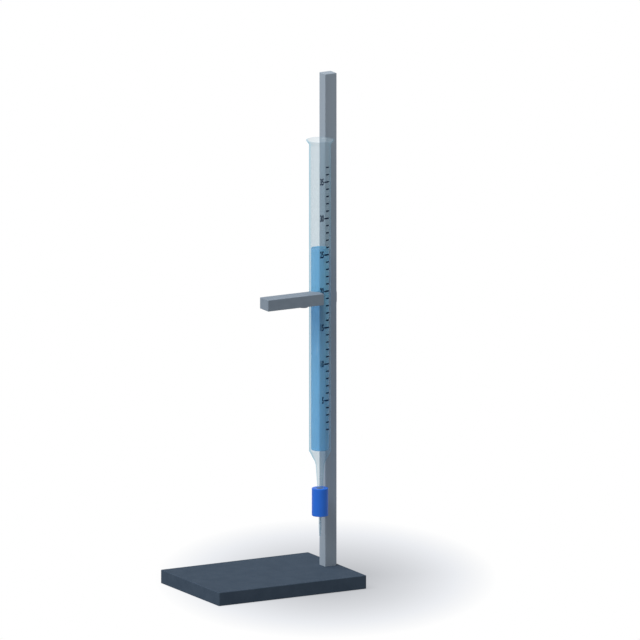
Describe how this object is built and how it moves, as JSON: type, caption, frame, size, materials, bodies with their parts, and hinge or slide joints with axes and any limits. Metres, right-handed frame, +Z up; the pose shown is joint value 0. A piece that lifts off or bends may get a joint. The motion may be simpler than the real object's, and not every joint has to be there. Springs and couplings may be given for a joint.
{
  "type": "burette",
  "caption": "Glass burette with stopcock, held upright on a rectangular stand by a spring-lever clamp that slides and locks on the bar.",
  "frame": {"origin": "centre of the base on the surface that the stand rests on", "axes": "+Z up along the upright and the tube, +X along the base's long side towards the upright, -Y towards the side that the scale faces"},
  "size_m": [0.2, 0.145, 0.617],
  "materials": {
    "base_paint": "dark slate powder coat",
    "satin_metal": "satin anodised",
    "clamp_metal": "satin, bead blasted",
    "clear_glass": "clear",
    "blue_liquid": "clear pale blue liquid",
    "blue_plastic": "moulded, gloss",
    "white_ptfe": "turned",
    "clear_silicone": "milky silicone",
    "black_rubber": "moulded",
    "fastener_steel": "bright zinc",
    "spring_steel": "drawn wire",
    "shoe_brass": "turned",
    "black_plastic": "moulded, fine grain"
  },
  "bodies": {
    "stand": {"base_plate": "base_paint", "rubber_feet": "black_rubber", "base_bolt": "fastener_steel", "base_washer": "fastener_steel", "upright": "satin_metal", "upright_foot_plug": "fastener_steel", "upright_cap": "satin_metal"},
    "clamp": {"clamp_body": "clamp_metal", "rear_jaw_lining": "black_rubber", "hinge_pin": "fastener_steel", "hinge_pin_clip": "fastener_steel", "clamp_spring": "spring_steel"},
    "arm": {"clamp_arm": "clamp_metal", "front_jaw_lining": "black_rubber"},
    "shoe": {"pressure_shoe": "shoe_brass"},
    "lock": {"lock_screw": "fastener_steel", "lock_knob": "black_plastic"},
    "burette": {"glass_tube": "clear_glass", "liquid": "blue_liquid", "stopcock_body": "blue_plastic", "stem_seal": "clear_silicone", "jet_tip": "clear_glass", "plug_nut": "blue_plastic", "plug_washer": "white_ptfe"},
    "key": {"stopcock_plug": "white_ptfe", "plug_o_rings": "black_rubber", "plug_handle": "blue_plastic", "handle_screw": "fastener_steel"}
  },
  "joints": [
    {"name": "clamp_height", "type": "slide", "parent": "stand", "child": "clamp", "axis": [0, 0, 1], "range_m": [-0.02, 0.25]},
    {"name": "arm_swing", "type": "hinge", "parent": "clamp", "child": "arm", "pos_m": [0.042, -0.0223, 0.3533], "axis": [0, 0, -1], "range_deg": [0, 18], "stiffness_Nm_per_rad": 0.5, "springref_deg": -20.05, "deforming": ["clamp_spring"]},
    {"name": "lock_thrust", "type": "slide", "parent": "clamp", "child": "shoe", "axis": [-1, 0, 0], "range_m": [0, 0.003]},
    {"name": "lock_turn", "type": "hinge", "parent": "shoe", "child": "lock", "pos_m": [0.0685, 0.00325, 0.34275], "axis": [-1, 0, 0], "range_deg": [0, 1080]},
    {"name": "tube_lift", "type": "slide", "parent": "clamp", "child": "burette", "axis": [0, 0, 1], "range_m": [-0.02, 0.15]},
    {"name": "stopcock_turn", "type": "hinge", "parent": "burette", "child": "key", "pos_m": [0.0635, -0.0237, 0.10125], "axis": [0.4848, 0.8746, 0], "continuous": true}
  ],
  "couplings": [
    {"joint": "lock_turn", "follows": "lock_thrust", "rad_per_m": 6283.2}
  ]
}
